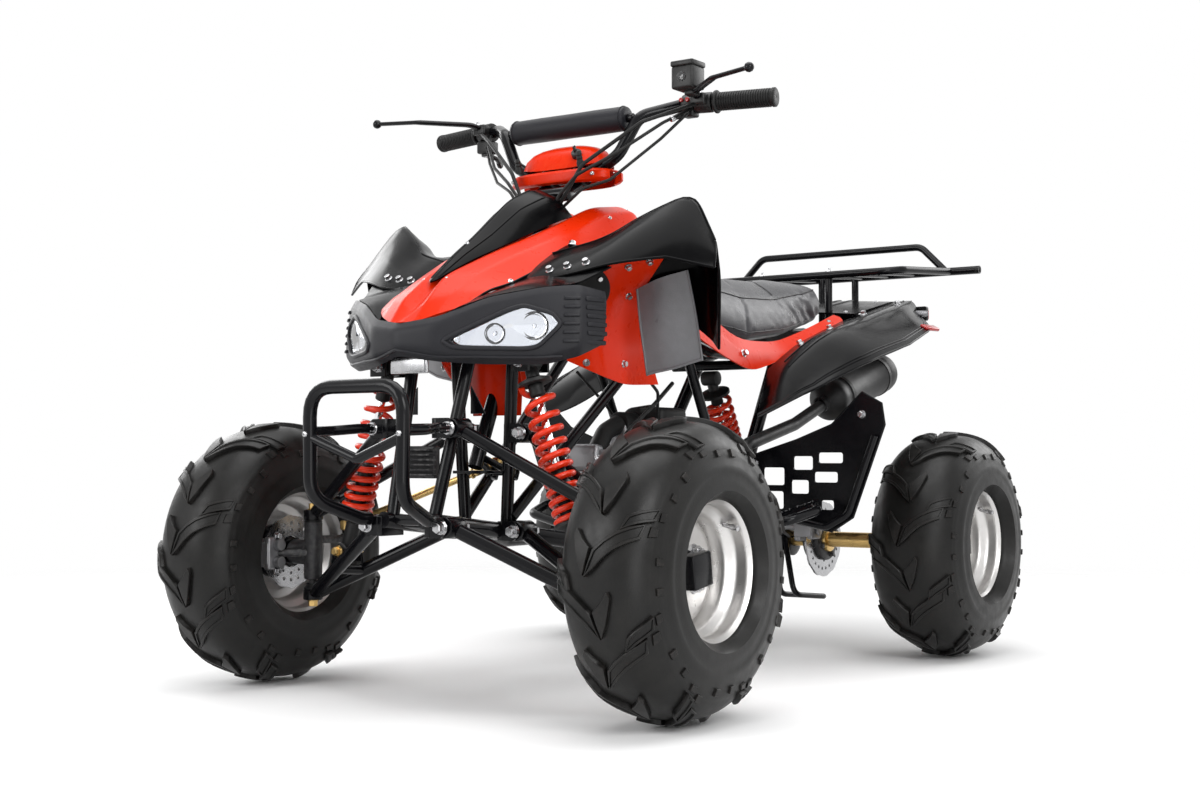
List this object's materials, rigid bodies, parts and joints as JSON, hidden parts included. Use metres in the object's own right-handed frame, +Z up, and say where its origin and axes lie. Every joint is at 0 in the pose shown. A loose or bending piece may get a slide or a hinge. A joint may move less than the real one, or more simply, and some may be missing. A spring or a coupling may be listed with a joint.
{
  "type": "quad bike",
  "caption": "Small four-wheeled quad bike with raked steering, double wishbone front, swingarm rear, saddle seat, front bumper loop and tubular rear carrier.",
  "frame": {"origin": "middle of the bounding box on the ground, under the vehicle", "axes": "+X to the vehicle's left, +Y to its rear (it faces -Y), +Z up"},
  "size_m": [1.0414, 1.643, 1.086],
  "materials": {
    "black_tube": "gloss",
    "red_spring": "gloss",
    "grey_plastic": "matte",
    "lamp_glass": "clear",
    "orange_plastic": "gloss",
    "black_plastic": "gloss",
    "seat_vinyl": "satin vinyl",
    "lamp_red": "gloss",
    "cast_metal": "cast",
    "exhaust_black": "matte",
    "dark_cast": "satin",
    "soft_rubber": "matte",
    "matte_black": "matte",
    "zinc_gold": "yellow zinc plate",
    "silver_rim": "satin silver",
    "tyre": "matte"
  },
  "bodies": {
    "chassis": {"frame": "black_tube", "lower_arms": "black_tube", "upper_arms": "black_tube", "front_shocks": "red_spring", "front_bumper": "black_tube", "headlight_bezel": "grey_plastic", "headlights": "lamp_glass", "nose_cowl": "orange_plastic", "steering_cover": "black_plastic", "front_fender_left": "black_plastic", "front_fender_right": "black_plastic", "fender_liners": "grey_plastic", "tank_cover": "grey_plastic", "seat": "seat_vinyl", "side_panels": "orange_plastic", "rear_fender_left": "black_plastic", "rear_fender_right": "black_plastic", "tail_cover": "black_plastic", "rear_rack": "black_tube", "tail_light": "lamp_red", "engine": "cast_metal", "exhaust": "exhaust_black", "swingarm": "black_tube", "rear_shock": "red_spring", "rear_caliper": "dark_cast", "footrests": "black_tube", "heel_guards": "black_tube"},
    "steering": {"steering_stem": "black_tube", "handlebar": "black_tube", "bar_pad": "soft_rubber", "grips": "soft_rubber", "brake_controls": "matte_black", "instrument_pod": "orange_plastic", "control_cables": "soft_rubber"},
    "tie_rod_left": {"tie_rod_left": "zinc_gold"},
    "tie_rod_right": {"tie_rod_right": "zinc_gold"},
    "knuckle_left": {"knuckle_left": "dark_cast"},
    "knuckle_right": {"knuckle_right": "dark_cast"},
    "front_wheel_left": {"front_rim_left": "silver_rim", "front_tyre_left": "tyre"},
    "front_wheel_right": {"front_rim_right": "silver_rim", "front_tyre_right": "tyre"},
    "rear_wheels": {"rear_axle": "zinc_gold", "rear_rims": "silver_rim", "rear_tyres": "tyre"}
  },
  "joints": [
    {"name": "steering_turn", "type": "hinge", "parent": "chassis", "child": "steering", "pos_m": [0, -0.5155, 0.4], "axis": [0, 0.3967, 0.918], "range_deg": [-28, 28]},
    {"name": "knuckle_left_turn", "type": "hinge", "parent": "chassis", "child": "knuckle_left", "pos_m": [0.333, -0.5655, 0.232], "axis": [0, 0, 1], "range_deg": [-28, 28]},
    {"name": "knuckle_right_turn", "type": "hinge", "parent": "chassis", "child": "knuckle_right", "pos_m": [-0.333, -0.5655, 0.232], "axis": [0, 0, 1], "range_deg": [-28, 28]},
    {"name": "tie_rod_left_pivot", "type": "hinge", "parent": "steering", "child": "tie_rod_left", "pos_m": [0.022, -0.44757, 0.37065], "axis": [0, 0.3967, 0.918], "range_deg": [-28, 28]},
    {"name": "tie_rod_right_pivot", "type": "hinge", "parent": "steering", "child": "tie_rod_right", "pos_m": [-0.022, -0.44757, 0.37065], "axis": [0, 0.3967, 0.918], "range_deg": [-28, 28]},
    {"name": "front_wheel_left_spin", "type": "hinge", "parent": "knuckle_left", "child": "front_wheel_left", "pos_m": [0.4275, -0.5655, 0.232], "axis": [1, 0, 0], "continuous": true},
    {"name": "front_wheel_right_spin", "type": "hinge", "parent": "knuckle_right", "child": "front_wheel_right", "pos_m": [-0.4275, -0.5655, 0.232], "axis": [1, 0, 0], "continuous": true},
    {"name": "rear_axle_spin", "type": "hinge", "parent": "chassis", "child": "rear_wheels", "pos_m": [0, 0.4745, 0.226], "axis": [1, 0, 0], "continuous": true}
  ],
  "couplings": [
    {"joint": "knuckle_left_turn", "follows": "steering_turn", "ratio": 1},
    {"joint": "knuckle_right_turn", "follows": "steering_turn", "ratio": 1},
    {"joint": "tie_rod_left_pivot", "follows": "steering_turn", "ratio": -1},
    {"joint": "tie_rod_right_pivot", "follows": "steering_turn", "ratio": -1}
  ]
}
